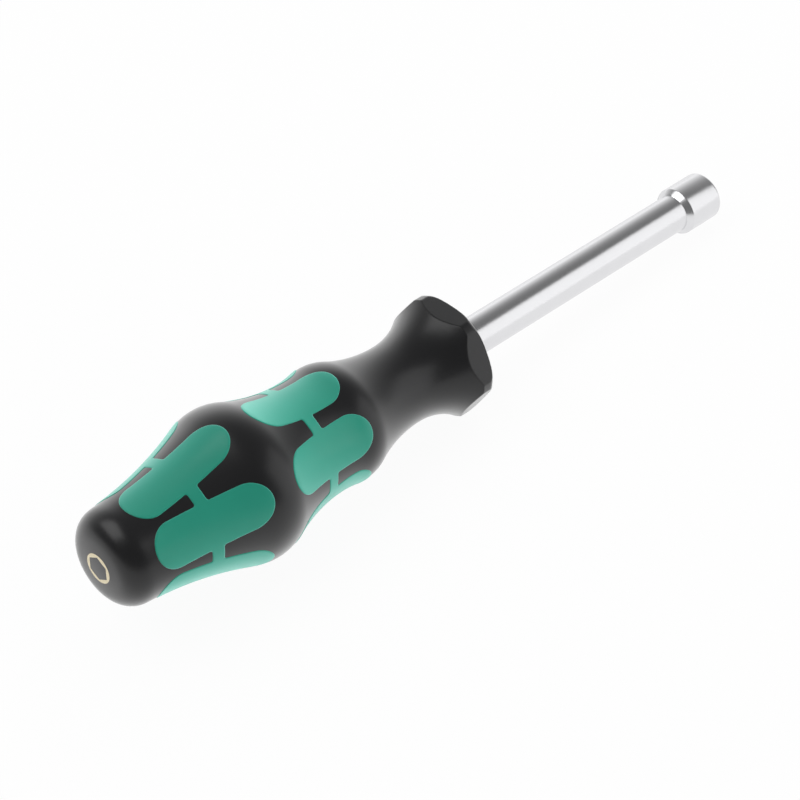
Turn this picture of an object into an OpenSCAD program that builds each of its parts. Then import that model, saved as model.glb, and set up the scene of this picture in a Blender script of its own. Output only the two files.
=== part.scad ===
// Nut driver with a hollow shaft and a contoured handle of two plastics.
// The tool lies along X. The mouth of its socket is at the origin and faces +X,
// and one flat of the six-sided collar faces straight down.
// Stations are measured along the tool, from the domed end of the handle.

/* [Handle outline] */
// Length of the handle, from its domed end to the front face of the collar
handle_l = 105; // [100:1:115]
// Radius of the shallow dome that closes the end
dome_r = 51; // [35:1:90]
// Diameter of the end where its rounded corner runs out
end_d = 23; // [20:0.1:26]
// Radius of the corner round the domed end
end_corner_r = 5.7; // [4:0.1:8]
// Slope at which the end runs out towards the bulge, in degrees
end_slope = 3.4; // [1:0.1:7]
// Station of the widest place, where the palm sits
bulge_pos = 38.4; // [35:0.1:42]
// Diameter at the widest place
bulge_d = 37; // [34:0.1:42]
// Radius of the crest of the bulge, along the tool
bulge_r = 12.6; // [9:0.1:17]
// Distance from the bulge to the waist, where the thumb sits
waist_gap = 22.4; // [20:0.1:25]
// Depth of the waist below the swell in front of it
waist_depth = 0.63; // [0.4:0.01:2]
// Distance from the waist to the front swell
swell_gap = 6.7; // [5.5:0.1:8]
// Diameter of the front swell
swell_d = 28.8; // [26:0.1:32]
// Radius of the crest of the swell, along the tool
swell_r = 10; // [7:0.1:13]
// Distance from the swell to the neck, where the fingertips turn the tool
neck_gap = 20; // [18:0.1:23]
// Diameter of the neck
neck_d = 19.9; // [17:0.1:23]

/* [Collar] */
// Diameter of the collar across its rounded corners
collar_d = 29.6; // [27:0.1:33]
// Width of the collar across its flats, which keep the tool from rolling
collar_flats = 26.8; // [25.6:0.1:28]
// Length of the collar's full-diameter band
collar_l = 3.8; // [2:0.1:6]
// Rounding of the collar's front edge
collar_edge_r = 1.8; // [0.3:0.1:2]

/* [Soft grips] */
// Width of a pad
pad_w = 10.7; // [9:0.1:10.8]
// Thickness of the soft material
pad_t = 1; // [0.6:0.1:1.2]
// Station where the rear pads start
rear_pad_pos = 7.7; // [6:0.1:9]
// Length of the rear pads
rear_pad_l = 27.8; // [26:0.1:31]
// Station of the middle of the rear bridges between pads
rear_bridge_pos = 21.5; // [18:0.1:26]
// Station where the front pads start
front_pad_pos = 42.1; // [40:0.1:44]
// Length of the front pads
front_pad_l = 25.5; // [24:0.1:28]
// Station of the middle of the front bridges between pads
front_bridge_pos = 54.7; // [51:0.1:60]
// Width of the bridges that join the pads into one moulding
bridge_w = 3; // [2:0.1:5]
// Height by which the bridges stay below the pads, on both faces
bridge_step = 0.1; // [0.05:0.05:0.3]

/* [Shaft] */
// Free length in front of the handle, socket included
shank_l = 90; // [70:1:130]
// Diameter of the shaft
shaft_d = 9.4; // [8.6:0.1:10.4]
// Diameter of the hole that lets a long stud pass up the shaft
stud_bore_d = 6.2; // [5.4:0.1:6.8]
// Depth of that hole, from the mouth of the socket
stud_bore_depth = 80; // [40:1:100]
// Angle of the drilled bottom of the hole, in degrees
drill_angle = 118; // [90:1:140]
// Length of the shaft that is buried in the handle
tang_l = 72; // [60:1:80]
// Width across the two wings pressed out of the tang
wing_span = 15; // [12:0.1:16.4]
// Thickness of the wings
wing_t = 3; // [2:0.1:5]
// Length of the wings
wing_l = 16; // [10:0.5:20]
// Distance from the back end of the tang to the wings
wing_setback = 6; // [3:0.5:12]

/* [Socket] */
// Outside diameter of the socket
socket_d = 12; // [11.4:0.1:14]
// Length of the socket, with its conical shoulder
socket_l = 11.2; // [9.6:0.1:16]
// Length of the conical shoulder behind the socket
shoulder_l = 1; // [0.6:0.1:2]
// Width across flats of the nut that the socket drives
nut_flats = 8; // [7:0.5:8]
// Depth of the six-sided recess
hex_depth = 6.6; // [5:0.1:7.5]
// Rounding of the outside edge of the mouth
mouth_r = 0.9; // [0.4:0.1:1.1]
// Depth of the lead-in round the mouth of the recess
lead_in = 0.3; // [0.1:0.05:0.5]

/* [Core] */
// Diameter of the thick rear barrel of the core
core_rear_d = 19; // [18:0.1:20]
// Diameter of the slim front barrel of the core
core_front_d = 14.5; // [13:0.1:15.4]
// Station of the back end of the core
core_pos = 16; // [13:0.5:22]
// Station of the step between the two barrels
core_step_pos = 64; // [60:0.5:68]
// Distance from the front end of the core to the front of the handle
core_setback = 7; // [5:0.5:10]
// Number of ring grooves that key the handle to the core
groove_count = 4; // [2:1:6]
// Width of a ring groove
groove_w = 3; // [2:0.1:4]
// Depth of a ring groove
groove_depth = 1.2; // [0.6:0.1:1.6]

/* [Fits] */
// Gap left between two pieces that are moulded or pressed together
seam = 0.03; // [0.01:0.01:0.1]
// Play between the recess and the nut, across the flats
nut_play = 0.1; // [0.05:0.05:0.3]

/* [Hidden] */
$fn = 96;
hex_sides = 6;
pad_count = 6;
overrun = 1;
chord_error = 0.03;

overall_l = handle_l + shank_l;
shaft_r = shaft_d / 2;
socket_r = socket_d / 2;
stud_r = stud_bore_d / 2;
recess_flats = nut_flats + nut_play;
recess_corner_r = recess_flats / 2 / cos(180 / hex_sides);
collar_r = collar_d / 2;
pad_pitch = 360 / pad_count;
tang_pos = handle_l - tang_l;
shaft_front = overall_l - hex_depth - seam;
core_front = handle_l - core_setback;
collar_pos = handle_l - collar_l;

// Stations and radii of the crests and hollows of the outline
waist_pos = bulge_pos + waist_gap;
swell_pos = waist_pos + swell_gap;
neck_pos = swell_pos + neck_gap;
end_rad = end_d / 2;
bulge_rad = bulge_d / 2;
swell_rad = swell_d / 2;
waist_rad = swell_rad - waist_depth;
neck_rad = neck_d / 2;

// Outward direction at an angle from the tool's axis, as [radius, station]
function outward(angle) = [sin(angle), cos(angle)];

// Angle of a [radius, station] vector from the tool's axis
function bearing(v) = atan2(v[0], v[1]);

// Radius of the hollow that lies level at its foot and touches a crest.
// run and drop lead from the top of the crest to the foot of the hollow.
function hollow_radius(crest_r, run, drop) = (run * run + drop * drop) / (2 * drop) - crest_r;

// Radius of the hollow that leaves a point along a slope and touches a crest
function runout_radius(from, normal, crest, crest_r) =
    let (w = from - crest)
    (w * w - crest_r * crest_r) / (2 * (crest_r - w * normal));

// Centres and radii of the arcs, from the dome to the collar
dome_c = [0, dome_r];
corner_rise = end_rad - end_corner_r;
corner_c = [corner_rise, dome_r - sqrt(pow(dome_r - end_corner_r, 2) - corner_rise * corner_rise)];
runout_angle = 90 + end_slope;
runout_p = corner_c + end_corner_r * outward(runout_angle);
bulge_c = [bulge_rad - bulge_r, bulge_pos];
runout_r = runout_radius(runout_p, outward(runout_angle), bulge_c, bulge_r);
runout_c = runout_p + runout_r * outward(runout_angle);
waist_rear_r = hollow_radius(bulge_r, waist_gap, bulge_rad - waist_rad);
waist_rear_c = [waist_rad + waist_rear_r, waist_pos];
swell_c = [swell_rad - swell_r, swell_pos];
waist_front_r = hollow_radius(swell_r, swell_gap, waist_depth);
waist_front_c = [waist_rad + waist_front_r, waist_pos];
neck_rear_r = hollow_radius(swell_r, neck_gap, swell_rad - neck_rad);
neck_rear_c = [neck_rad + neck_rear_r, neck_pos];
flare_r = hollow_radius(0, collar_pos - neck_pos, collar_r - neck_rad);
flare_c = [neck_rad + flare_r, neck_pos];

// Angles at which each arc hands over to the next
dome_end = bearing(corner_c - dome_c);
bulge_start = bearing(runout_c - bulge_c);
bulge_end = bearing(waist_rear_c - bulge_c);
swell_start = bearing(waist_front_c - swell_c);
swell_end = bearing(neck_rear_c - swell_c);
flare_end = bearing(flare_c - [collar_r, collar_pos]);

// Arcs as [centre, radius, first angle, last angle]: a hollow has a negative radius
arcs = [
    [dome_c, dome_r, 180, dome_end],
    [corner_c, end_corner_r, dome_end, runout_angle],
    [runout_c, -runout_r, runout_angle, bulge_start],
    [bulge_c, bulge_r, bulge_start, bulge_end],
    [waist_rear_c, -waist_rear_r, bulge_end, 90],
    [waist_front_c, -waist_front_r, 90, swell_start],
    [swell_c, swell_r, swell_start, swell_end],
    [neck_rear_c, -neck_rear_r, swell_end, 90],
    [flare_c, -flare_r, 90, flare_end]
];
collar_edge = [[collar_r - collar_edge_r, handle_l - collar_edge_r], collar_edge_r, 90, 0];

// Point of an arc, moved inwards by an inset
function arc_point(arc, angle, inset) = arc[0] + (arc[1] - inset) * outward(angle);

// Points along an arc, close enough for its chords to follow it; the last one is left out
function arc_points(arc, inset = 0) =
    let (sweep = arc[3] - arc[2])
    let (chord_sweep = 2 * acos(1 - chord_error / abs(arc[1])))
    let (count = ceil(abs(sweep) / chord_sweep))
    [for (i = [0 : count - 1]) arc_point(arc, arc[2] + sweep * i / count, inset)];

// Half of the handle's lengthwise section, set in from the outside by an inset
module handle_section(inset = 0) {
    polygon([
        each [for (arc = arcs) each arc_points(arc, inset)],
        arc_point(arcs[len(arcs) - 1], flare_end, inset),
        each arc_points(collar_edge, inset),
        arc_point(collar_edge, 0, inset),
        [0, handle_l - inset]
    ]);
}

// Lays what was turned about Z along X, with the socket's mouth at the origin
module lie_down() {
    rotate([0, 90, 0]) translate([0, 0, -overall_l]) children();
}

// Flat outline of one pad, across the tool and along it, grown by a gap
module pad_outline(pos, length, gap) {
    r = pad_w / 2;
    translate([0, pos + r]) circle(r = r + gap);
    translate([0, pos + length - r]) circle(r = r + gap);
    translate([-r - gap, pos + r]) square([2 * (r + gap), length - pad_w]);
}

// Skin of the handle between two depths, from one station to another
module handle_skin(outer, inner, first, last) {
    rotate_extrude() intersection() {
        difference() {
            handle_section(outer);
            handle_section(inner);
        }
        translate([0, first]) square([bulge_d, last - first]);
    }
}

// One pad between two depths, grown sideways by a gap
module pad(pos, length, outer, inner, gap) {
    intersection() {
        handle_skin(outer, inner, pos - overrun, pos + length + overrun);
        rotate([90, 0, 90]) linear_extrude(bulge_d) pad_outline(pos, length, gap);
    }
}

// One bridge, which runs into the pads on both sides of it
module bridge(pos, outer, inner, gap) {
    half_w = bridge_w / 2 + gap;
    intersection() {
        handle_skin(outer + bridge_step, inner - bridge_step, pos - half_w, pos + half_w);
        translate([0, -pad_w / 2, pos - bridge_w]) cube([bulge_d, pad_w, 2 * bridge_w]);
    }
}

// Pads and bridges of one grip between two depths, grown sideways by a gap
module grip(pos, length, bridge_pos, outer, inner, gap) {
    for (i = [0 : pad_count - 1]) {
        rotate([0, 0, i * pad_pitch]) pad(pos, length, outer, inner, gap);
        rotate([0, 0, (i + 1 / 2) * pad_pitch]) bridge(bridge_pos, outer, inner, gap);
    }
}

// Both grips: as soft mouldings, or as the pockets that they fill
module rear_grip_shape(outer, inner, gap) {
    grip(rear_pad_pos, rear_pad_l, rear_bridge_pos, outer, inner, gap);
}

module front_grip_shape(outer, inner, gap) {
    grip(front_pad_pos, front_pad_l, front_bridge_pos, outer, inner, gap);
}

// Plate that forms both wings of the tang, with slanted ends
module wings(gap) {
    half = wing_span / 2 + gap;
    slant = half - shaft_r;
    first = tang_pos + wing_setback - gap;
    last = first + wing_l + 2 * gap;
    translate([0, wing_t / 2 + gap, 0]) rotate([90, 0, 0]) linear_extrude(wing_t + 2 * gap)
        polygon([
            [-half, first + slant], [-shaft_r, first], [shaft_r, first], [half, first + slant],
            [half, last - slant], [shaft_r, last], [-shaft_r, last], [-half, last - slant]
        ]);
}

// The outside of the shaft with its tang, grown by a gap
module shaft_blank(gap, front) {
    translate([0, 0, tang_pos - gap]) cylinder(r = shaft_r + gap, h = front - tang_pos + gap);
    wings(gap);
}

// Turned steel bar, drilled from the front, with two wings pressed out of its tang
module shaft() {
    bore_pos = overall_l - stud_bore_depth;
    tip_l = stud_r / tan(drill_angle / 2);
    color([0.80, 0.80, 0.82]) lie_down() difference() {
        shaft_blank(0, shaft_front);
        translate([0, 0, bore_pos]) cylinder(r = stud_r, h = stud_bore_depth);
        translate([0, 0, bore_pos - tip_l]) cylinder(r1 = 0, r2 = stud_r, h = tip_l);
    }
}

// Turned steel socket, pressed over the front end of the shaft
module socket_head() {
    back = overall_l - socket_l;
    bore_r = shaft_r + seam;
    seat = overall_l - hex_depth;
    mouth_edge = [[socket_r - mouth_r, overall_l - mouth_r], mouth_r, 90, 0];
    color([0.80, 0.80, 0.82]) lie_down() difference() {
        rotate_extrude() polygon([
            [0, back],
            [bore_r, back],
            [socket_r, back + shoulder_l],
            each arc_points(mouth_edge),
            arc_point(mouth_edge, 0, 0),
            [0, overall_l]
        ]);
        translate([0, 0, back - overrun]) cylinder(r = bore_r, h = seat - back + overrun);
        translate([0, 0, seat - overrun])
            cylinder(r = recess_corner_r, h = hex_depth + 2 * overrun, $fn = hex_sides);
        translate([0, 0, overall_l - lead_in])
            cylinder(r1 = recess_flats / 2, r2 = recess_flats / 2 + lead_in, h = lead_in + seam);
    }
}

// Outline of the core, grown by a gap
module core_blank(gap) {
    pitch = (core_step_pos - core_pos) / (groove_count + 1);
    difference() {
        union() {
            translate([0, 0, core_pos - gap])
                cylinder(d = core_rear_d + 2 * gap, h = core_step_pos - core_pos + 2 * gap);
            translate([0, 0, core_pos])
                cylinder(d = core_front_d + 2 * gap, h = core_front - core_pos + gap);
        }
        for (i = [1 : groove_count])
            translate([0, 0, core_pos + i * pitch - groove_w / 2 + gap]) difference() {
                cylinder(d = core_rear_d + 2 * overrun, h = groove_w - 2 * gap);
                cylinder(d = core_rear_d - 2 * groove_depth + 2 * gap, h = groove_w);
            }
    }
}

// Hard core moulded round the tang, with grooves that key the handle to it
module handle_core() {
    color([0.16, 0.16, 0.17]) lie_down() difference() {
        core_blank(0);
        shaft_blank(seam, handle_l);
    }
}

// Flat sides of the collar, as blocks to cut away
module collar_cuts() {
    for (i = [0 : hex_sides - 1])
        rotate([0, 0, i * 360 / hex_sides])
            translate([collar_flats / 2, -collar_d / 2, neck_pos])
                cube([collar_d, collar_d, handle_l - neck_pos + overrun]);
}

// Hard outer handle, with its collar and the pockets of the two grips
module handle_body() {
    color([0.13, 0.13, 0.14]) lie_down() difference() {
        rotate_extrude() handle_section();
        collar_cuts();
        rear_grip_shape(-overrun, pad_t + seam, seam);
        front_grip_shape(-overrun, pad_t + seam, seam);
        core_blank(seam);
        translate([0, 0, core_front]) cylinder(r = shaft_r + seam, h = core_setback + overrun);
    }
}

// Soft rear grip: six long pads round the palm end
module rear_grip() {
    color([0.17, 0.52, 0.44]) lie_down() rear_grip_shape(0, pad_t, 0);
}

// Soft front grip: six pads that run from the bulge over the waist to the swell
module front_grip() {
    color([0.17, 0.52, 0.44]) lie_down() front_grip_shape(0, pad_t, 0);
}

shaft();
socket_head();
handle_core();
handle_body();
rear_grip();
front_grip();
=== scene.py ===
"""Looks of a hand nut driver: chromed hollow shaft, pressed-on socket and a handle of two plastics.

The tool lies along X, with the mouth of its socket at the origin. Stations are counted along
the tool from the domed end of the handle, in millimetres, as they are on the drawing.
"""

import math

import bmesh
import bpy
from mathutils import Matrix, Vector


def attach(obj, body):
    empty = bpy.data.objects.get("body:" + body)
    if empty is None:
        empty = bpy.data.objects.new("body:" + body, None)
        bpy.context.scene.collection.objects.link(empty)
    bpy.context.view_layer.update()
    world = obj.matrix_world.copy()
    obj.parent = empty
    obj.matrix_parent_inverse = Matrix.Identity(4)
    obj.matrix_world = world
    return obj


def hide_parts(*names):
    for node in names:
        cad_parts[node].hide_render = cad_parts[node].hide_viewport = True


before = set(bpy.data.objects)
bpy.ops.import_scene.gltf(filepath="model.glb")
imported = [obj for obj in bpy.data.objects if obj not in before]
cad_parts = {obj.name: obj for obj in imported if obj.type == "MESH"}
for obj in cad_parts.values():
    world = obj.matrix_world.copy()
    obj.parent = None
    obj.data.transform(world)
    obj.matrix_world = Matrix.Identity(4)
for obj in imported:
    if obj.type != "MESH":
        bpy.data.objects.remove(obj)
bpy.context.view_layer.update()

# Shaft: steel bar, turned, drilled from the front so that a long stud can pass up it, and
# plated with satin chrome. Two wings pressed out of the tang hold it in the handle.
MM = 0.001
OVERALL_L = 195
SHAFT_R = 4.7
SHAFT_FRONT = 188.37
TANG_POS = 33
TANG_CHAMFER = 0.6
STUD_R = 3.1
BORE_POS = 115
DRILL_TIP_L = 1.86
MOUTH_BREAK = 0.15
WING_L = 16
WING_T = 3
WING_SPAN = 15
WING_POS = 39
WING_BREAK = 0.5
SHAFT_SEGMENTS = 128
WELD = 0.0005
TOOL_AXIS = Vector((1, 0, 0))
CENTRE = Vector((0, 0, 0))


def at(station, radius):
    """Point of a lengthwise section, in the frame of the tool."""
    return Vector(((station - OVERALL_L) * MM, 0, radius * MM))


def draw_on(bm, end, *points):
    """Carries a section on from its end through more [station, radius] points."""
    for station, radius in points:
        end = bmesh.ops.extrude_vert_indiv(bm, verts=[end])["verts"][0]
        end.co = at(station, radius)
    return end


def turn(bm, segments):
    """Turns a section once round the tool's axis, and closes it."""
    bmesh.ops.spin(
        bm,
        geom=bm.verts[:] + bm.edges[:],
        cent=CENTRE,
        axis=TOOL_AXIS,
        angle=math.tau,
        steps=segments,
        use_merge=True,
    )
    bmesh.ops.remove_doubles(bm, verts=bm.verts[:], dist=WELD * MM)
    bmesh.ops.recalc_face_normals(bm, faces=bm.faces[:])


def finish_piece(bm, name, finish, slot, *nodes, crease=35):
    """Makes a mesh into a piece of the tool that stands for its CAD nodes."""
    mesh = bpy.data.meshes.new(name)
    bm.to_mesh(mesh)
    bm.free()
    mesh.shade_smooth()
    mesh.set_sharp_from_angle(angle=math.radians(crease))
    mesh.materials.append(finish)
    piece = bpy.data.objects.new(name, mesh)
    bpy.context.scene.collection.objects.link(piece)
    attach(piece, "root")
    if nodes:
        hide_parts(*nodes)
    return piece


def new_finish(name):
    """A material, with its node tree and its shader."""
    finish = bpy.data.materials.new(name)
    finish.use_nodes = True
    return finish, finish.node_tree, finish.node_tree.nodes["Principled BSDF"]


def add(tree, kind, settings=None, **inputs):
    """Adds a node, with its settings and its inputs, which are values or sockets."""
    node = tree.nodes.new("ShaderNode" + kind)
    for name, value in (settings or {}).items():
        setattr(node, name, value)
    for name, value in inputs.items():
        socket = node.inputs[name.replace("_", " ")]
        if isinstance(value, bpy.types.NodeSocket):
            tree.links.new(value, socket)
        else:
            socket.default_value = value
    return node


def mix(tree, factor, low, high):
    """Colour between two colours, the first of which may be a socket."""
    node = tree.nodes.new("ShaderNodeMix")
    node.data_type = "RGBA"
    tree.links.new(factor, node.inputs[0])
    if isinstance(low, bpy.types.NodeSocket):
        tree.links.new(low, node.inputs[6])
    else:
        node.inputs[6].default_value = (*low, 1)
    node.inputs[7].default_value = (*high, 1)
    return node.outputs[2]


def between(tree, factor, low, high):
    """Value between two values."""
    return add(tree, "MapRange", Value=factor, To_Min=low, To_Max=high).outputs[0]


def new_pattern(name, inputs, outputs):
    """An empty shader node group, with the sockets that it is given and those that it puts out."""
    pattern = bpy.data.node_groups.new(name, "ShaderNodeTree")
    for title, value in inputs.items():
        socket = pattern.interface.new_socket(title, in_out="INPUT", socket_type="NodeSocketFloat")
        socket.default_value = value
    for title in outputs:
        pattern.interface.new_socket(title, in_out="OUTPUT", socket_type="NodeSocketFloat")
    given = pattern.nodes.new("NodeGroupInput").outputs
    put_out = pattern.nodes.new("NodeGroupOutput").inputs
    return pattern, given, put_out


# Fine lines left by the lathe, as a pattern that runs round the tool's axis
lathe_lines, given, put_out = new_pattern(
    "lathe_lines", {"Pitch": 4000.0, "Sweep": 40.0}, ("Lines", "Cloud")
)
place = add(lathe_lines, "TexCoord").outputs["Object"]
stretch = add(lathe_lines, "CombineXYZ", X=given["Pitch"], Y=given["Sweep"], Z=given["Sweep"])
scaled = add(lathe_lines, "VectorMath", {"operation": "MULTIPLY"})
lathe_lines.links.new(place, scaled.inputs[0])
lathe_lines.links.new(stretch.outputs[0], scaled.inputs[1])
lines = add(lathe_lines, "TexNoise", Vector=scaled.outputs[0], Scale=1.0, Detail=2.0)
cloud = add(lathe_lines, "TexNoise", Vector=place, Scale=180.0, Detail=3.0)
lathe_lines.links.new(lines.outputs["Fac"], put_out["Lines"])
lathe_lines.links.new(cloud.outputs["Fac"], put_out["Cloud"])


def chrome_finish(name, pitch):
    """Satin chrome over turned steel."""
    finish, tree, shader = new_finish(name)
    turned = add(tree, "Group", {"node_tree": lathe_lines}, Pitch=pitch)
    tone = mix(tree, turned.outputs["Cloud"], (0.74, 0.74, 0.755), (0.78, 0.78, 0.795))
    tree.links.new(tone, shader.inputs["Base Color"])
    tree.links.new(between(tree, turned.outputs["Lines"], 0.20, 0.28), shader.inputs["Roughness"])
    bump = add(tree, "Bump", Strength=0.1, Distance=0.003 * MM, Height=turned.outputs["Lines"])
    tree.links.new(bump.outputs[0], shader.inputs["Normal"])
    shader.inputs["Metallic"].default_value = 1
    return finish


bm = bmesh.new()
back = bm.verts.new(at(TANG_POS, 0))
draw_on(
    bm,
    back,
    (TANG_POS, SHAFT_R - TANG_CHAMFER),
    (TANG_POS + TANG_CHAMFER, SHAFT_R),
    (SHAFT_FRONT - MOUTH_BREAK, SHAFT_R),
    (SHAFT_FRONT, SHAFT_R - MOUTH_BREAK),
    (SHAFT_FRONT, STUD_R + MOUTH_BREAK),
    (SHAFT_FRONT - MOUTH_BREAK, STUD_R),
    (BORE_POS, STUD_R),
    (BORE_POS - DRILL_TIP_L, 0),
)
turn(bm, SHAFT_SEGMENTS)
wings = bmesh.ops.create_cube(bm, size=1)["verts"]
bmesh.ops.scale(bm, verts=wings, vec=Vector((WING_L, WING_T, WING_SPAN)) * MM)
bmesh.ops.translate(bm, verts=wings, vec=at(WING_POS + WING_L / 2, 0))
wing_edges = [edge for edge in bm.edges if edge.verts[0] in wings and edge.verts[1] in wings]
bmesh.ops.bevel(
    bm,
    geom=wing_edges,
    offset=WING_BREAK * MM,
    offset_type="OFFSET",
    segments=3,
    profile=0.5,
    affect="EDGES",
    material=-1,
)
finish_piece(bm, "chromed_shaft", chrome_finish("shaft_chrome", 5000.0), "chromed_steel", "shaft")

# Socket: turned from steel, with a hexagonal recess broached into its mouth, plated like
# the shaft, and pressed over the front end of it.
SOCKET_R = 6
SOCKET_POS = 183.45
SOCKET_BORE_R = 4.73
SHOULDER_L = 1.15
SHOULDER_BREAK = 0.12
MOUTH_R = 0.9
MOUTH_STEPS = 8
HEX_HALF_FLATS = 4.05
HEX_DEPTH = 6.6
LEAD_IN = 0.3
SOCKET_SEGMENTS = 192
TOUCH = 0.01
HEX_PITCH = math.radians(60)


def carry_round(bm, end, station, radius, sweep, steps):
    """Carries a section on round a centre, by a sweep in degrees from the tool's axis outwards."""
    made = bmesh.ops.spin(
        bm,
        geom=[end],
        cent=at(station, radius),
        axis=(0, -1, 0),
        angle=math.radians(sweep),
        steps=steps,
    )
    return made["geom_last"][0]


def hexagon_radius(turned, half_flats):
    """Radius of a hexagon at an angle from one of its corners."""
    return half_flats / math.cos(turned % HEX_PITCH - HEX_PITCH / 2)


def recess_radius(vert):
    """Radius of the recess, which has corners at +Z and -Z, in a vertex's direction."""
    return hexagon_radius(math.atan2(vert.co.y, vert.co.z), HEX_HALF_FLATS) * MM


def lead_in_radius(vert):
    """Radius of the round lead-in, which eases the flats of the recess at the mouth."""
    return max(recess_radius(vert), (HEX_HALF_FLATS + LEAD_IN) * MM)


def front_loop(bm):
    """Open edges round the mouth, at the front end of the mesh."""
    front = max(vert.co.x for vert in bm.verts)
    return [
        edge
        for edge in bm.edges
        if edge.is_boundary and all(vert.co.x > front - TOUCH * MM for vert in edge.verts)
    ]


def push_loop(bm, edges, station, radius_of):
    """Pulls a new row of faces from a loop of edges to a station and a radius."""
    made = bmesh.ops.extrude_edge_only(bm, edges=edges)["geom"]
    for vert in made:
        if isinstance(vert, bmesh.types.BMVert):
            spoke = Vector((0, vert.co.y, vert.co.z)).normalized()
            vert.co = at(station, 0) + spoke * radius_of(vert)
    return [edge for edge in made if isinstance(edge, bmesh.types.BMEdge) and edge.is_boundary]


bm = bmesh.new()
end = bm.verts.new(at(OVERALL_L - HEX_DEPTH, SOCKET_BORE_R))
end = draw_on(
    bm,
    end,
    (SOCKET_POS + SHOULDER_BREAK, SOCKET_BORE_R),
    (SOCKET_POS, SHAFT_R),
    (SOCKET_POS + SHOULDER_L - SHOULDER_BREAK, SOCKET_R - SHOULDER_BREAK),
    (SOCKET_POS + SHOULDER_L + SHOULDER_BREAK, SOCKET_R),
    (OVERALL_L - MOUTH_R, SOCKET_R),
)
carry_round(bm, end, OVERALL_L - MOUTH_R, SOCKET_R - MOUTH_R, -90, MOUTH_STEPS)
turn(bm, SOCKET_SEGMENTS)
loop = front_loop(bm)
loop = push_loop(bm, loop, OVERALL_L, lead_in_radius)
loop = push_loop(bm, loop, OVERALL_L - LEAD_IN, recess_radius)
loop = push_loop(bm, loop, OVERALL_L - HEX_DEPTH, recess_radius)
push_loop(bm, loop, OVERALL_L - HEX_DEPTH, lambda vert: SOCKET_BORE_R * MM)
bmesh.ops.remove_doubles(bm, verts=bm.verts[:], dist=WELD * MM)
bmesh.ops.recalc_face_normals(bm, faces=bm.faces[:])
socket_chrome = chrome_finish("socket_chrome", 4000.0)
finish_piece(bm, "chromed_socket", socket_chrome, "chromed_steel", "socket_head", crease=25)

# Core: hard plastic moulded round the tang. The outer handle covers it all, so its
# CAD solid stays, with the finish of a plain technical moulding.
# Painted sheens of hard plastic seen edge-on, which pale the base colour towards the rim, each as its
# tone, its share and how narrow it is
HARD_PAINTED_SHEENS = (((1, 1, 1), 0.35, 4),)

grain, given, put_out = new_pattern(
    "moulded_grain", {"Grain": 2600.0, "Blotch": 90.0}, ("Pits", "Blotches")
)
place = add(grain, "TexCoord").outputs["Object"]
pits = add(grain, "TexNoise", Vector=place, Scale=given["Grain"], Detail=2.0, Roughness=0.6)
blotches = add(grain, "TexNoise", Vector=place, Scale=given["Blotch"], Detail=4.0)
grain.links.new(pits.outputs["Fac"], put_out["Pits"])
grain.links.new(blotches.outputs["Fac"], put_out["Blotches"])


def moulded_finish(name, tones, roughness, grain_scale, grain_depth, painted_sheens):
    """Moulded plastic: two close tones in soft blotches, a pale sheen painted into the colour at the
    rim and a fine grain.
    """
    finish, tree, shader = new_finish(name)
    shader.inputs["Specular IOR Level"].default_value = 0.23
    shader.inputs["Coat Weight"].default_value = 1
    shader.inputs["Coat IOR"].default_value = 1.31
    shader.inputs["Coat Roughness"].default_value = roughness[1]
    moulded = add(tree, "Group", {"node_tree": grain}, Grain=grain_scale)
    tone = mix(tree, moulded.outputs["Blotches"], *tones)
    # Painted sheen: the base colour turns paler where the surface is seen edge-on
    facing = add(tree, "LayerWeight", Blend=0.5).outputs["Facing"]
    for painted_sheen_tone, painted_sheen_share, painted_sheen_power in painted_sheens:
        painted_sheen_weight = add(tree, "Math", {"operation": "POWER"})
        tree.links.new(facing, painted_sheen_weight.inputs[0])
        painted_sheen_weight.inputs[1].default_value = painted_sheen_power
        tone = mix(tree, between(tree, painted_sheen_weight.outputs[0], 0, painted_sheen_share), tone, painted_sheen_tone)
    tree.links.new(tone, shader.inputs["Base Color"])
    tree.links.new(between(tree, moulded.outputs["Pits"], *roughness), shader.inputs["Roughness"])
    bump = add(tree, "Bump", Strength=0.3, Distance=grain_depth * MM, Height=moulded.outputs["Pits"])
    tree.links.new(bump.outputs[0], shader.inputs["Normal"])
    return finish


core_finish = moulded_finish(
    "core_plastic",
    tones=((0.020, 0.020, 0.022), (0.030, 0.030, 0.033)),
    roughness=(0.5, 0.65),
    grain_scale=1800.0,
    grain_depth=0.02,
    painted_sheens=HARD_PAINTED_SHEENS,
)
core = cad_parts["handle_core"]
core.data.materials.clear()
core.data.materials.append(core_finish)

# Outer handle: hard black plastic, moulded over the core. It has the domed end, the bulge
# for the palm, the waist, the neck for the fingertips and the six-sided collar.
HANDLE_L = 105
DOME_R = 51
END_RAD = 11.5
END_CORNER_R = 5.7
END_SLOPE = 3.4
BULGE_POS, BULGE_RAD, BULGE_R = 38.4, 18.5, 12.6
WAIST_POS, WAIST_RAD = 60.8, 13.77
SWELL_POS, SWELL_RAD, SWELL_R = 67.5, 14.4, 10
NECK_POS, NECK_RAD = 87.5, 9.95
COLLAR_POS, COLLAR_RAD = 101.2, 14.8
COLLAR_HALF_FLATS = 13.4
COLLAR_EDGE_R = 1.8
EDGE_STEPS = 10
BORE_BREAK = 0.3
FLAT_ROUNDING = 0.15
FLAT_START_RAD = 13
CORE_FRONT, CORE_FRONT_R = 98, 7.28
CORE_STEP_POS, CORE_REAR_R = 64, 9.53
CORE_POS = 16
HANDLE_SEGMENTS = 480
RING_STEP = 1
COLLAR_RING_STEP = 0.16


def hollow_radius(crest_r, run, drop):
    """Radius of the hollow that lies level at its foot and touches a crest."""
    return (run**2 + drop**2) / (2 * drop) - crest_r


def bearing(station, radius):
    """Angle of a step from the tool's axis outwards, in degrees."""
    return math.degrees(math.atan2(radius, station))


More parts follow.
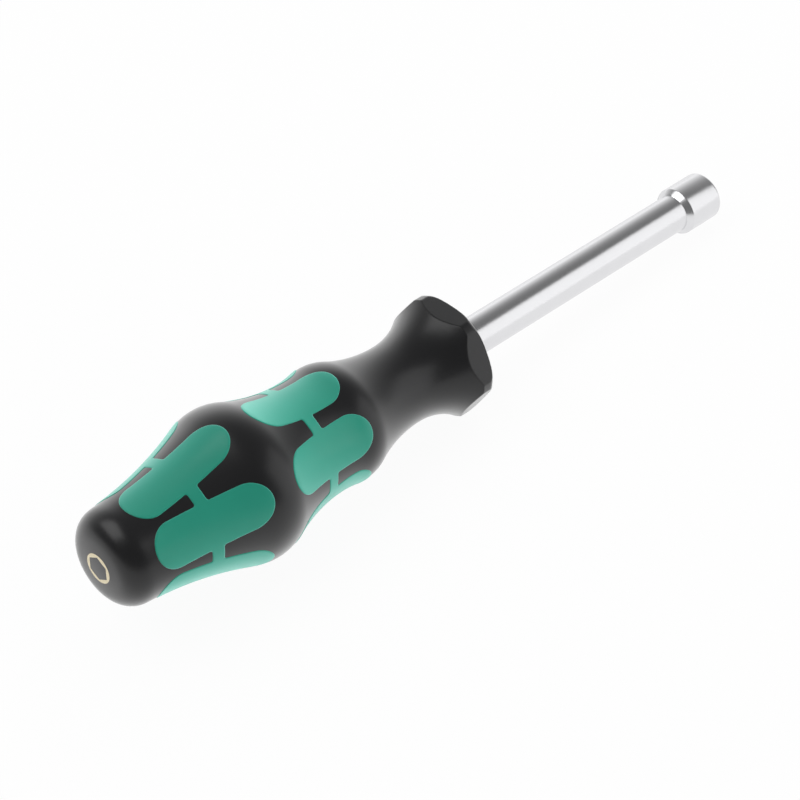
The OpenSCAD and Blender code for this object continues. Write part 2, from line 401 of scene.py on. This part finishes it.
# Centres of the arcs as (station, radius): a crest's lies inside the handle, a hollow's outside
corner_rise = END_RAD - END_CORNER_R
corner_c = (DOME_R - math.sqrt((DOME_R - END_CORNER_R) ** 2 - corner_rise**2), corner_rise)
runout_angle = 90 + END_SLOPE
runout_dir = (math.cos(math.radians(runout_angle)), math.sin(math.radians(runout_angle)))
runout_p = [c + END_CORNER_R * d for c, d in zip(corner_c, runout_dir)]
bulge_c = (BULGE_POS, BULGE_RAD - BULGE_R)
step = [p - c for p, c in zip(runout_p, bulge_c)]
step_out = sum(s * d for s, d in zip(step, runout_dir))
runout_r = (sum(s * s for s in step) - BULGE_R**2) / (2 * (BULGE_R - step_out))
runout_c = [p + runout_r * d for p, d in zip(runout_p, runout_dir)]
waist_rear_r = hollow_radius(BULGE_R, WAIST_POS - BULGE_POS, BULGE_RAD - WAIST_RAD)
waist_front_r = hollow_radius(SWELL_R, SWELL_POS - WAIST_POS, SWELL_RAD - WAIST_RAD)
neck_rear_r = hollow_radius(SWELL_R, NECK_POS - SWELL_POS, SWELL_RAD - NECK_RAD)
flare_r = hollow_radius(0, COLLAR_POS - NECK_POS, COLLAR_RAD - NECK_RAD)
waist_rear_c = (WAIST_POS, WAIST_RAD + waist_rear_r)
waist_front_c = (WAIST_POS, WAIST_RAD + waist_front_r)
swell_c = (SWELL_POS, SWELL_RAD - SWELL_R)
neck_rear_c = (NECK_POS, NECK_RAD + neck_rear_r)
flare_c = (NECK_POS, NECK_RAD + flare_r)


def bearing_to(start, stop):
    """Bearing of one point from another."""
    return bearing(stop[0] - start[0], stop[1] - start[1])


# Outline of the handle, arc by arc: centre, radius (negative in a hollow) and first and last angle
dome_end = bearing_to((DOME_R, 0), corner_c)
bulge_start = bearing_to(bulge_c, runout_c)
bulge_end = bearing_to(bulge_c, waist_rear_c)
swell_start = bearing_to(swell_c, waist_front_c)
swell_end = bearing_to(swell_c, neck_rear_c)
flat_start = (NECK_POS + math.sqrt(flare_r**2 - (flare_c[1] - FLAT_START_RAD) ** 2), FLAT_START_RAD)
flat_angle = bearing_to(flat_start, flare_c)
flare_end = bearing_to((COLLAR_POS, COLLAR_RAD), flare_c)
arcs = [
    ((DOME_R, 0), DOME_R, 180, dome_end),
    (corner_c, END_CORNER_R, dome_end, runout_angle),
    (runout_c, -runout_r, runout_angle, bulge_start),
    (bulge_c, BULGE_R, bulge_start, bulge_end),
    (waist_rear_c, -waist_rear_r, bulge_end, 90),
    (waist_front_c, -waist_front_r, 90, swell_start),
    (swell_c, SWELL_R, swell_start, swell_end),
    (neck_rear_c, -neck_rear_r, swell_end, 90),
    (flare_c, -flare_r, 90, flat_angle),
    (flare_c, -flare_r, flat_angle, flare_end),
]

bm = bmesh.new()
end = bm.verts.new(at(0, 0))
for centre, radius, first, last in arcs:
    ring_step = COLLAR_RING_STEP if first == flat_angle else RING_STEP
    steps = math.ceil(abs(radius * math.radians(last - first)) / ring_step)
    end = carry_round(bm, end, *centre, last - first, steps)
band = math.ceil((HANDLE_L - COLLAR_EDGE_R - COLLAR_POS) / COLLAR_RING_STEP)
band_step = (HANDLE_L - COLLAR_EDGE_R - COLLAR_POS) / band
end = draw_on(bm, end, *[(COLLAR_POS + (i + 1) * band_step, COLLAR_RAD) for i in range(band)])
end = carry_round(bm, end, HANDLE_L - COLLAR_EDGE_R, COLLAR_RAD - COLLAR_EDGE_R, -90, EDGE_STEPS)
draw_on(
    bm,
    end,
    (HANDLE_L, SOCKET_BORE_R + BORE_BREAK),
    (HANDLE_L - BORE_BREAK, SOCKET_BORE_R),
    (CORE_FRONT, SOCKET_BORE_R),
    (CORE_FRONT, CORE_FRONT_R),
    (CORE_STEP_POS, CORE_FRONT_R),
    (CORE_STEP_POS, CORE_REAR_R),
    (CORE_POS, CORE_REAR_R),
    (CORE_POS, 0),
)
turn(bm, HANDLE_SEGMENTS)
for vert in bm.verts:
    if vert.co.x < at(NECK_POS, 0).x:
        continue
    spoke = Vector((0, vert.co.y, vert.co.z))
    radius = spoke.length / MM
    if radius < COLLAR_HALF_FLATS - FLAT_ROUNDING:
        continue
    turned = (math.atan2(vert.co.y, vert.co.z) + HEX_PITCH / 2) % HEX_PITCH - HEX_PITCH / 2
    flat = COLLAR_HALF_FLATS / math.cos(turned)
    near = max(FLAT_ROUNDING - abs(radius - flat), 0)
    wanted = min(radius, flat) - near**2 / (4 * FLAT_ROUNDING)
    vert.co.yz = (spoke * (wanted / radius)).yz
black_finish = moulded_finish(
    "satin_black",
    tones=((0.0080, 0.0080, 0.0088), (0.0105, 0.0105, 0.0115)),
    roughness=(0.27, 0.34),
    grain_scale=2600.0,
    grain_depth=0.008,
    painted_sheens=HARD_PAINTED_SHEENS,
)
finish_piece(bm, "black_handle", black_finish, "hard_black", "handle_body", crease=40)

# Grips: soft green plastic, moulded into pockets of the handle. Each one is a ring of six
# long pads, which narrow bridges join into one moulding.
PAD_COUNT = 6
PAD_W = 10.7
PAD_T = 1
PAD_PROUD = 0.12
PAD_RIM_R = 0.3
PAD_SEGMENTS = 96
BRIDGE_W = 3
BRIDGE_FILLET = 0.45
BRIDGE_REACH = 7
PAD_CUT = 0.6
RIM_STEPS = 4
CUT_WELD = 0.0002
PAD_WELD = 0.003
# Rows of pads: first station, length and station of the bridges
REAR_PADS = (7.7, 27.8, 21.5)
FRONT_PADS = (42.1, 25.5, 54.7)


def skin(station):
    """Radius of the handle at a station, and how its outward direction leans (along, away)."""
    for centre, radius, first, last in arcs:
        if station <= centre[0] + radius * math.cos(math.radians(last)):
            break
    along = (station - centre[0]) / radius
    away = math.sqrt(1 - along**2)
    return centre[1] + radius * away, along, away


def lay_on_handle(bm):
    """Lays a flat pad, drawn along X and across Y, on the handle's upper side."""
    for vert in bm.verts:
        station, across, height = vert.co / MM
        radius, along, away = skin(station)
        turned = math.asin(across / radius)
        reach = radius + height * away
        point = at(station + height * along, reach * math.cos(turned))
        vert.co = Vector((point.x, reach * math.sin(turned) * MM, point.z))


def cut_across(bm, axis, places, **clear):
    """Cuts a mesh by planes across one axis."""
    for place in places:
        bmesh.ops.bisect_plane(
            bm,
            geom=bm.verts[:] + bm.edges[:] + bm.faces[:],
            dist=CUT_WELD * MM,
            plane_co=axis * place * MM,
            plane_no=axis,
            **clear,
        )


def pad_blank(bm, first, length, bridge_pos):
    """Flat outline of one pad, with a bridge to each side, as one face."""
    half_w = PAD_W / 2 * MM
    bmesh.ops.create_circle(
        bm,
        cap_ends=True,
        radius=half_w,
        segments=PAD_SEGMENTS,
        matrix=Matrix.Rotation(math.pi / PAD_SEGMENTS, 4, "Z"),
    )
    for vert in bm.verts:
        vert.co.x += first * MM + (half_w if vert.co.x < 0 else length * MM - half_w)
    cut_across(bm, TOOL_AXIS, (bridge_pos - BRIDGE_W / 2, bridge_pos + BRIDGE_W / 2))
    sides = [
        edge
        for edge in bm.edges
        if edge.is_boundary
        and all(abs(vert.co.x / MM - bridge_pos) < BRIDGE_W / 2 + TOUCH for vert in edge.verts)
    ]
    corners = [vert for edge in sides for vert in edge.verts]
    for edge in sides:
        made = bmesh.ops.extrude_edge_only(bm, edges=[edge])["geom"]
        new = [vert for vert in made if isinstance(vert, bmesh.types.BMVert)]
        bmesh.ops.translate(bm, verts=new, vec=(0, math.copysign(BRIDGE_REACH * MM, new[0].co.y), 0))
    inner = [edge for edge in bm.edges if len(edge.link_faces) == 2]
    bmesh.ops.dissolve_edges(bm, edges=inner, use_verts=False)
    bmesh.ops.bevel(
        bm,
        geom=corners,
        offset=BRIDGE_FILLET * MM,
        offset_type="OFFSET",
        segments=5,
        profile=0.5,
        affect="VERTICES",
        material=-1,
    )


def grip(first, length, bridge_pos):
    """Ring of six pads: one is drawn flat, raised, rounded at its rim, laid on and repeated."""
    bm = bmesh.new()
    pad_blank(bm, first, length, bridge_pos)
    bmesh.ops.translate(bm, verts=bm.verts[:], vec=(0, 0, -PAD_T * MM))
    made = bmesh.ops.extrude_face_region(bm, geom=bm.faces[:], use_keep_orig=True)["geom"]
    top_verts = [vert for vert in made if isinstance(vert, bmesh.types.BMVert)]
    bmesh.ops.translate(bm, verts=top_verts, vec=(0, 0, (PAD_T + PAD_PROUD - PAD_RIM_R) * MM))
    bmesh.ops.recalc_face_normals(bm, faces=bm.faces[:])
    top = [face for face in made if isinstance(face, bmesh.types.BMFace)]
    for i in range(RIM_STEPS):
        low, high = (math.radians(90 * (i + k) / RIM_STEPS) for k in (0, 1))
        bmesh.ops.inset_region(
            bm,
            faces=top,
            thickness=PAD_RIM_R * MM * (math.cos(low) - math.cos(high)),
            depth=PAD_RIM_R * MM * (math.sin(high) - math.sin(low)),
            use_even_offset=True,
            use_boundary=True,
        )
    cuts = math.ceil(length / PAD_CUT)
    cut_across(bm, TOOL_AXIS, [first + length * i / cuts for i in range(1, cuts)])
    cuts = math.ceil(PAD_W / 2 / PAD_CUT)
    cut_across(bm, Vector((0, 1, 0)), [PAD_W / 2 * i / cuts for i in range(1 - 2 * cuts, 2 * cuts)])
    lay_on_handle(bm)
    for side in (1, -1):
        edge_of_sector = Vector((0, side * math.cos(HEX_PITCH / 2), -math.sin(HEX_PITCH / 2)))
        cut_across(bm, edge_of_sector, [0], clear_outer=True)
    bmesh.ops.spin(
        bm,
        geom=bm.verts[:] + bm.edges[:] + bm.faces[:],
        cent=CENTRE,
        axis=TOOL_AXIS,
        angle=math.tau * (PAD_COUNT - 1) / PAD_COUNT,
        steps=PAD_COUNT - 1,
        use_duplicate=True,
    )
    bmesh.ops.remove_doubles(bm, verts=bm.verts[:], dist=PAD_WELD * MM)
    bmesh.ops.recalc_face_normals(bm, faces=bm.faces[:])
    return bm


green_finish = moulded_finish(
    "soft_green",
    tones=((0.010, 0.234, 0.159), (0.014, 0.266, 0.181)),
    roughness=(0.42, 0.52),
    grain_scale=3600.0,
    grain_depth=0.012,
    # Painted sheen: pale green, then white, painted into the colour where the grips are seen edge-on
    painted_sheens=(((0.2, 0.9, 0.77), 0.6, 2), ((1, 1, 1), 0.9, 6)),
)
soft = green_finish.node_tree.nodes["Principled BSDF"].inputs
soft["Specular IOR Level"].default_value = 0.12
soft["Coat IOR"].default_value = 1.28
soft["Coat Roughness"].default_value = 0.25
soft["Sheen Weight"].default_value = 1
soft["Sheen Roughness"].default_value = 0.52
soft["Sheen Tint"].default_value = (0.27, 1, 0.81, 1)
finish_piece(grip(*REAR_PADS), "green_rear_grip", green_finish, "soft_green", "rear_grip", crease=60)
finish_piece(grip(*FRONT_PADS), "green_front_grip", green_finish, "soft_green", "front_grip", crease=60)

# Drive mark: a hexagon left open in a round dot of pale gold foil, hot-pressed on the domed
# end, which shows that the tool drives hexagon nuts.
MARK_R = 3.6
MARK_HALF_FLATS = 2.64
MARK_T = 0.04
MARK_TURN = 3.6
MARK_SEGMENTS = 96
MARK_CUT = 0.4

bm = bmesh.new()
bmesh.ops.create_circle(bm, cap_ends=True, radius=MARK_R * MM, segments=MARK_SEGMENTS)
hexagon = bm.faces[:]
ring_w = (MARK_R - MARK_HALF_FLATS) * MM
bmesh.ops.inset_region(bm, faces=hexagon, thickness=ring_w, use_boundary=True)
for vert in hexagon[0].verts:
    turned = math.atan2(vert.co.y, vert.co.x)
    vert.co *= hexagon_radius(turned, MARK_HALF_FLATS) * MM / vert.co.length
bmesh.ops.delete(bm, geom=hexagon, context="FACES")
turned_mark = Matrix.Rotation(math.radians(MARK_TURN), 3, "Z")
bmesh.ops.rotate(bm, verts=bm.verts[:], cent=CENTRE, matrix=turned_mark)
made = bmesh.ops.extrude_face_region(bm, geom=bm.faces[:], use_keep_orig=True)["geom"]
raised = [vert for vert in made if isinstance(vert, bmesh.types.BMVert)]
bmesh.ops.translate(bm, verts=raised, vec=(0, 0, MARK_T * MM))
cuts = round(MARK_R / MARK_CUT)
places = [i * MARK_CUT for i in range(-cuts, cuts + 1)]
cut_across(bm, TOOL_AXIS, places)
cut_across(bm, Vector((0, 1, 0)), places)
for vert in bm.verts:
    up, across, height = vert.co / MM
    sag = DOME_R - math.sqrt(DOME_R**2 - up**2 - across**2)
    vert.co = at(sag - height + MARK_T / 2, up) + Vector((0, across * MM, 0))
bmesh.ops.recalc_face_normals(bm, faces=bm.faces[:])
gold_finish, tree, shader = new_finish("gold_foil")
foil = add(tree, "Group", {"node_tree": grain}, Grain=2200.0)
foil_tone = mix(tree, foil.outputs["Pits"], (0.86, 0.73, 0.46), (0.96, 0.87, 0.66))
tree.links.new(foil_tone, shader.inputs["Base Color"])
tree.links.new(between(tree, foil.outputs["Blotches"], 0.3, 0.45), shader.inputs["Roughness"])
shader.inputs["Metallic"].default_value = 0.3
finish_piece(bm, "gold_drive_mark", gold_finish, "hard_black")

# Stage: pale table under the bulge and the collar, which carry the tool, soft light as in
# a white tent, and the camera where the photograph was taken from.
REST_X, REST_Z = -90.1, -13.42
TABLE_TILT = math.radians(-4.42)
TABLE_SIZE = 6

bm = bmesh.new()
bmesh.ops.create_grid(bm, x_segments=1, y_segments=1, size=TABLE_SIZE / 2)
bmesh.ops.rotate(bm, verts=bm.verts[:], cent=CENTRE, matrix=Matrix.Rotation(TABLE_TILT, 3, "Y"))
bmesh.ops.translate(bm, verts=bm.verts[:], vec=Vector((REST_X, 0, REST_Z)) * MM)
table_mesh = bpy.data.meshes.new("table")
bm.to_mesh(table_mesh)
bm.free()
table = bpy.data.objects.new("table", table_mesh)
bpy.context.scene.collection.objects.link(table)

BACKGROUND_SHARE = 0.95


def seen_directly(tree):
    """1 for what the camera sees, also in metal and through glass."""
    path = add(tree, "LightPath").outputs
    total = path["Is Camera Ray"]
    for name in ("Is Glossy Ray", "Is Transmission Ray"):
        joined = add(tree, "Math", {"operation": "MAXIMUM"})
        tree.links.new(total, joined.inputs[0])
        tree.links.new(path[name], joined.inputs[1])
        total = joined.outputs[0]
    return total


table_finish = bpy.data.materials.new("white_table")
table_finish.use_nodes = True
tree = table_finish.node_tree
tree.nodes.clear()
paint = add(tree, "BsdfDiffuse", Color=(0.95, 0.95, 0.95, 1))
glow = add(tree, "Emission", Color=(1, 1, 1, 1), Strength=1.0)
share = add(tree, "Math", {"operation": "MULTIPLY"})
tree.links.new(seen_directly(tree), share.inputs[0])
share.inputs[1].default_value = BACKGROUND_SHARE
blend = add(tree, "MixShader")
tree.links.new(share.outputs[0], blend.inputs[0])
tree.links.new(paint.outputs[0], blend.inputs[1])
tree.links.new(glow.outputs[0], blend.inputs[2])
surface = add(tree, "OutputMaterial")
tree.links.new(blend.outputs[0], surface.inputs[0])
table_mesh.materials.append(table_finish)

# White far side of the tent, which fades upwards and round to the dim side behind the camera
DIM, FAR = 0.18, 1.2
FAR_EDGE, TENT_TOP = 0.2, 0.85
FAR_SIDE = (0.616, 0.788, 0)

world = bpy.data.worlds.new("tent")
world.use_nodes = True
tree = world.node_tree
sky = tree.nodes["Background"]
direction = add(tree, "TexCoord").outputs["Generated"]
facing = add(tree, "VectorMath", {"operation": "DOT_PRODUCT"})
tree.links.new(direction, facing.inputs[0])
facing.inputs[1].default_value = FAR_SIDE
height = add(tree, "SeparateXYZ", Vector=direction).outputs["Z"]
smooth = {"interpolation_type": "SMOOTHSTEP"}
far = add(
    tree,
    "MapRange",
    smooth,
    Value=facing.outputs["Value"],
    From_Min=FAR_EDGE,
    From_Max=1.0,
    To_Max=FAR,
).outputs[0]
low = add(tree, "MapRange", Value=height, From_Max=TENT_TOP, To_Min=1.0, To_Max=0.0).outputs[0]
white = add(tree, "Math", {"operation": "MULTIPLY_ADD"})
tree.links.new(far, white.inputs[0])
tree.links.new(low, white.inputs[1])
white.inputs[2].default_value = DIM
tree.links.new(white.outputs[0], sky.inputs["Strength"])
sky.inputs["Color"].default_value = (1, 1, 1, 1)
bpy.context.scene.world = world

LIT_POINT = Vector((-0.1, 0, 0))


def softbox(name, azimuth, elevation, distance, size, power):
    """Large soft lamp, turned to the middle of the tool."""
    lamp = bpy.data.lights.new(name, "AREA")
    lamp.shape = "RECTANGLE"
    lamp.size, lamp.size_y = size
    lamp.energy = power
    holder = bpy.data.objects.new(name, lamp)
    azimuth, elevation = math.radians(azimuth), math.radians(elevation)
    level = math.cos(elevation)
    out = Vector((level * math.cos(azimuth), level * math.sin(azimuth), math.sin(elevation)))
    aim = (-out).to_track_quat("-Z", "Y").to_matrix().to_4x4()
    holder.matrix_world = Matrix.Translation(LIT_POINT + out * distance) @ aim
    holder.visible_camera = False
    bpy.context.scene.collection.objects.link(holder)
    return holder


softbox("rear_softbox", 148, 51, 0.95, (0.8, 0.74), 4.0)
softbox("side_softbox", -48, 25, 0.9, (0.75, 0.8), 1.9)
softbox("top_fill", 40, 60, 1.0, (1.0, 1.0), 3.9).visible_glossy = False
softbox("low_fill", -65, 9, 1.0, (1.0, 0.3), 4.3).visible_glossy = False

EYE = Vector((-443.6, -319.3, 400.0)) * MM
AIM = Vector((-108.6, -2.7, -2.2)) * MM
ROLL = math.radians(2.87)
LENS = 121.5

lens = bpy.data.cameras.new("camera")
lens.lens = LENS
lens.sensor_width = 36
camera = bpy.data.objects.new("camera", lens)
look = (AIM - EYE).to_track_quat("-Z", "Y").to_matrix().to_4x4()
camera.matrix_world = Matrix.Translation(EYE) @ look @ Matrix.Rotation(ROLL, 4, "Z")
bpy.context.scene.collection.objects.link(camera)
bpy.context.scene.camera = camera
bpy.context.scene.view_settings.view_transform = "Standard"
